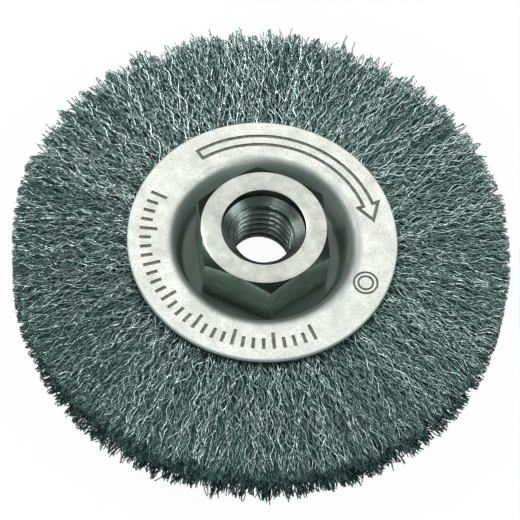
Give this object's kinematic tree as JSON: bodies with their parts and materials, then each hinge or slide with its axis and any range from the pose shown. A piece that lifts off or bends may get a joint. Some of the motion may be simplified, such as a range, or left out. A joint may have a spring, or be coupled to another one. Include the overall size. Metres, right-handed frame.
{
  "type": "wire wheel brush",
  "caption": "Round crimped wire wheel with a hexagon hub nut in a dished side plate, a threaded bore and a ragged wire rim, for cleaning and deburring on an angle grinder.",
  "frame": {"origin": "on the spindle axis at the middle of the wire disc, where the two plates' floors meet, inside the threaded bore", "axes": "+Z along the spindle axis, out of the hub nut's face; +X through a corner of the hexagon, +Y square to one of its flats"},
  "size_m": [0.1023, 0.1023, 0.0218],
  "materials": {
    "nut_steel": "turned bright on the face, dark and oiled on the flats",
    "plate_steel": "satin pressed sheet, faintly mottled",
    "ring_steel": "plain drawn wire",
    "wire_steel": "drawn and crimped, oiled, with a cold grey-green cast"
  },
  "bodies": {
    "root": {"hub_nut": "nut_steel", "front_plate": "plate_steel", "back_plate": "plate_steel", "core_ring": "ring_steel", "wire_fill": "wire_steel", "front_wires": "wire_steel", "back_wires": "wire_steel", "rim_wires": "wire_steel"}
  },
  "joints": []
}
